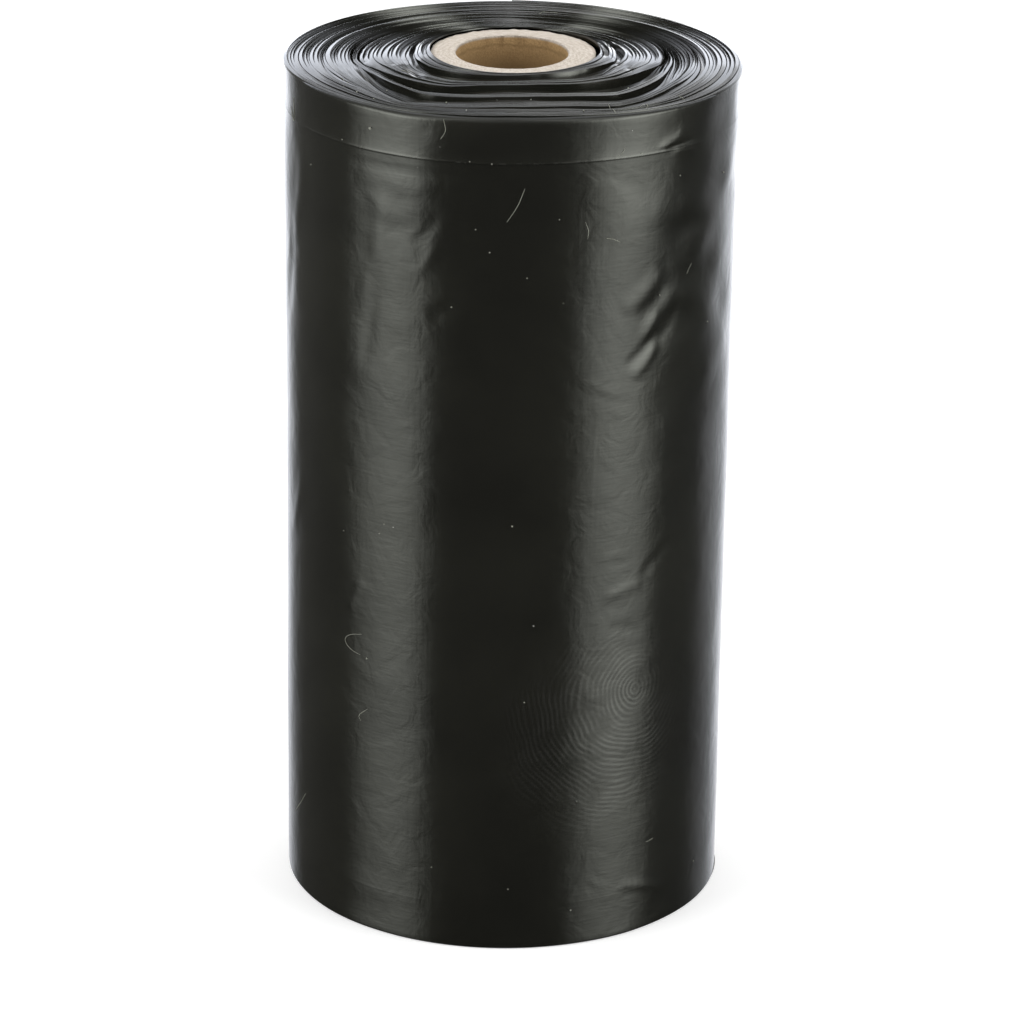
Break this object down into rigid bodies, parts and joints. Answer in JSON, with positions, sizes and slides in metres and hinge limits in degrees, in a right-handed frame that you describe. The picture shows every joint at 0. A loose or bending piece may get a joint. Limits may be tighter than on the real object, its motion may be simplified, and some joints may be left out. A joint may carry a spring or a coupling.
{
  "type": "roll of dog waste bags",
  "caption": "Tight roll of folded black film waste bags wound on a cardboard tube, turns showing at both ends, with a through bore for a spindle.",
  "frame": {"origin": "centre of the lower end, on the roll's axis, in the plane that its outer turns stand on", "axes": "+Z along the roll's axis, up from the end it stands on; -Y is the front that is seen, and the web's loose edge is at +Y, at the back"},
  "size_m": [0.0319, 0.032, 0.0629],
  "materials": {
    "kraft_board": "uncoated wound kraft board, fibrous, cut square with a slightly frayed bore edge",
    "bag_film": "thin black polyethylene film wound tight, satin to glossy, lightly wrinkled and dusty"
  },
  "bodies": {
    "root": {"cardboard_core": "kraft_board", "wound_bags": "bag_film"}
  },
  "joints": []
}
